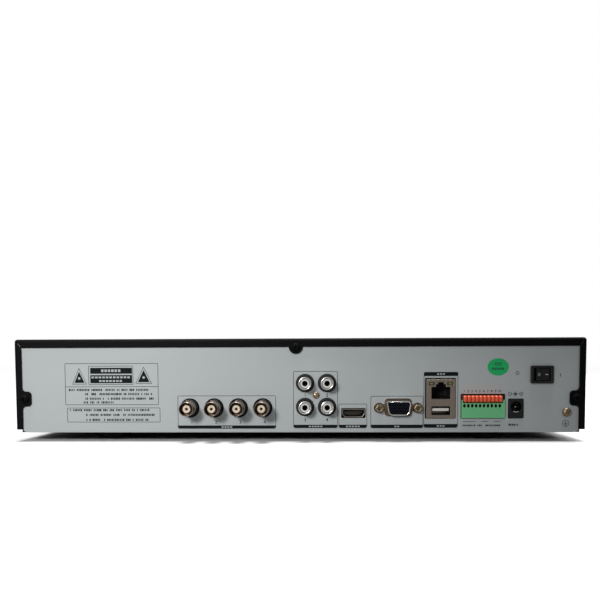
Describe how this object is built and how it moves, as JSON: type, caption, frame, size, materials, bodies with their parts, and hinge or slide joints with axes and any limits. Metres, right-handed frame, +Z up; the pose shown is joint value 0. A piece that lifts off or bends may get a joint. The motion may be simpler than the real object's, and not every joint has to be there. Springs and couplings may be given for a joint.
{
  "type": "surveillance video recorder",
  "caption": "Desktop video recorder for surveillance cameras, with a rear panel of signal sockets, a wire terminal and a rocker switch.",
  "frame": {"origin": "on the surface it stands on, under the middle of the whole box", "axes": "+Z up, +X along the width, +Y out of the connector panel, front fascia towards -Y"},
  "size_m": [0.375, 0.302, 0.0678],
  "materials": {
    "black_steel": "fine satin powder coat",
    "grey_steel": "satin paint",
    "black_plastic": "fine moulded grain",
    "smoked_window": "polished, dark tint",
    "rocker_plastic": "semi-gloss",
    "button_plastic": "satin",
    "foot_rubber": "matt",
    "nickel": "nickel plate",
    "zinc_screw": "passivated zinc plate",
    "insulator": "moulded",
    "dark_insert": "moulded",
    "white_insert": "moulded",
    "terminal_green": "moulded",
    "lever_orange": "moulded",
    "board_green": "solder mask",
    "heat_sink_black": "black anodised",
    "drive_aluminium": "cast and machined",
    "battery_steel": "bright",
    "cable_red": "satin jacket"
  },
  "bodies": {
    "root": {"base_tray": "grey_steel", "bus_tongue": "white_insert", "camera_insulator_1": "insulator", "camera_insulator_2": "insulator", "camera_insulator_3": "insulator", "camera_insulator_4": "insulator", "camera_socket_1": "nickel", "camera_socket_2": "nickel", "camera_socket_3": "nickel", "camera_socket_4": "nickel", "clock_battery": "battery_steel", "cover_screw_left": "black_steel", "cover_screw_right": "black_steel", "cover_screw_top": "black_steel", "drive_cable": "cable_red", "foot_front_left": "foot_rubber", "foot_front_right": "foot_rubber", "foot_rear_left": "foot_rubber", "foot_rear_right": "foot_rubber", "front_board": "board_green", "front_fascia": "black_plastic", "front_window": "smoked_window", "ground_screw": "zinc_screw", "hard_drive": "drive_aluminium", "hd_out_shell": "nickel", "hd_out_tongue": "dark_insert", "heat_sink": "heat_sink_black", "main_board": "board_green", "network_bus_housing": "nickel", "phono_housing": "black_plastic", "phono_screw": "nickel", "phono_sleeve_1": "nickel", "phono_sleeve_2": "nickel", "phono_sleeve_3": "nickel", "phono_sleeve_4": "nickel", "power_inlet_body": "black_plastic", "power_inlet_pin": "nickel", "power_switch_body": "black_plastic", "rear_panel": "grey_steel", "terminal_body": "terminal_green", "top_cover": "black_steel", "video_jackscrew_left": "nickel", "video_jackscrew_right": "nickel", "video_socket_insert": "dark_insert", "video_socket_shell": "nickel"},
    "rocker": {"power_rocker": "rocker_plastic"},
    "lever_1": {"terminal_lever_1": "lever_orange"},
    "lever_2": {"terminal_lever_2": "lever_orange"},
    "lever_3": {"terminal_lever_3": "lever_orange"},
    "lever_4": {"terminal_lever_4": "lever_orange"},
    "lever_5": {"terminal_lever_5": "lever_orange"},
    "lever_6": {"terminal_lever_6": "lever_orange"},
    "lever_7": {"terminal_lever_7": "lever_orange"},
    "lever_8": {"terminal_lever_8": "lever_orange"},
    "lever_9": {"terminal_lever_9": "lever_orange"},
    "lever_10": {"terminal_lever_10": "lever_orange"},
    "button_1": {"front_button_1": "button_plastic"},
    "button_2": {"front_button_2": "button_plastic"},
    "button_3": {"front_button_3": "button_plastic"}
  },
  "joints": [
    {"name": "rocker_tilt", "type": "hinge", "parent": "root", "child": "rocker", "pos_m": [-0.15885, 0.1359, 0.0437], "axis": [0, 0, 1], "range_deg": [-16, 0]},
    {"name": "lever_1_press", "type": "hinge", "parent": "root", "child": "lever_1", "pos_m": [-0.109, 0.1285, 0.0231], "axis": [1, 0, 0], "range_deg": [-8, 0], "stiffness_Nm_per_rad": 0.2, "springref_deg": 2.86},
    {"name": "lever_2_press", "type": "hinge", "parent": "root", "child": "lever_2", "pos_m": [-0.11154, 0.1285, 0.0231], "axis": [1, 0, 0], "range_deg": [-8, 0], "stiffness_Nm_per_rad": 0.2, "springref_deg": 2.86},
    {"name": "lever_3_press", "type": "hinge", "parent": "root", "child": "lever_3", "pos_m": [-0.11408, 0.1285, 0.0231], "axis": [1, 0, 0], "range_deg": [-8, 0], "stiffness_Nm_per_rad": 0.2, "springref_deg": 2.86},
    {"name": "lever_4_press", "type": "hinge", "parent": "root", "child": "lever_4", "pos_m": [-0.11662, 0.1285, 0.0231], "axis": [1, 0, 0], "range_deg": [-8, 0], "stiffness_Nm_per_rad": 0.2, "springref_deg": 2.86},
    {"name": "lever_5_press", "type": "hinge", "parent": "root", "child": "lever_5", "pos_m": [-0.11916, 0.1285, 0.0231], "axis": [1, 0, 0], "range_deg": [-8, 0], "stiffness_Nm_per_rad": 0.2, "springref_deg": 2.86},
    {"name": "lever_6_press", "type": "hinge", "parent": "root", "child": "lever_6", "pos_m": [-0.1217, 0.1285, 0.0231], "axis": [1, 0, 0], "range_deg": [-8, 0], "stiffness_Nm_per_rad": 0.2, "springref_deg": 2.86},
    {"name": "lever_7_press", "type": "hinge", "parent": "root", "child": "lever_7", "pos_m": [-0.12424, 0.1285, 0.0231], "axis": [1, 0, 0], "range_deg": [-8, 0], "stiffness_Nm_per_rad": 0.2, "springref_deg": 2.86},
    {"name": "lever_8_press", "type": "hinge", "parent": "root", "child": "lever_8", "pos_m": [-0.12678, 0.1285, 0.0231], "axis": [1, 0, 0], "range_deg": [-8, 0], "stiffness_Nm_per_rad": 0.2, "springref_deg": 2.86},
    {"name": "lever_9_press", "type": "hinge", "parent": "root", "child": "lever_9", "pos_m": [-0.12932, 0.1285, 0.0231], "axis": [1, 0, 0], "range_deg": [-8, 0], "stiffness_Nm_per_rad": 0.2, "springref_deg": 2.86},
    {"name": "lever_10_press", "type": "hinge", "parent": "root", "child": "lever_10", "pos_m": [-0.13186, 0.1285, 0.0231], "axis": [1, 0, 0], "range_deg": [-8, 0], "stiffness_Nm_per_rad": 0.2, "springref_deg": 2.86},
    {"name": "button_1_press", "type": "slide", "parent": "root", "child": "button_1", "axis": [0, 1, 0], "range_m": [0, 0.001], "stiffness_N_per_m": 600, "springref_m": -0.0008},
    {"name": "button_2_press", "type": "slide", "parent": "root", "child": "button_2", "axis": [0, 1, 0], "range_m": [0, 0.001], "stiffness_N_per_m": 600, "springref_m": -0.0008},
    {"name": "button_3_press", "type": "slide", "parent": "root", "child": "button_3", "axis": [0, 1, 0], "range_m": [0, 0.001], "stiffness_N_per_m": 600, "springref_m": -0.0008}
  ]
}
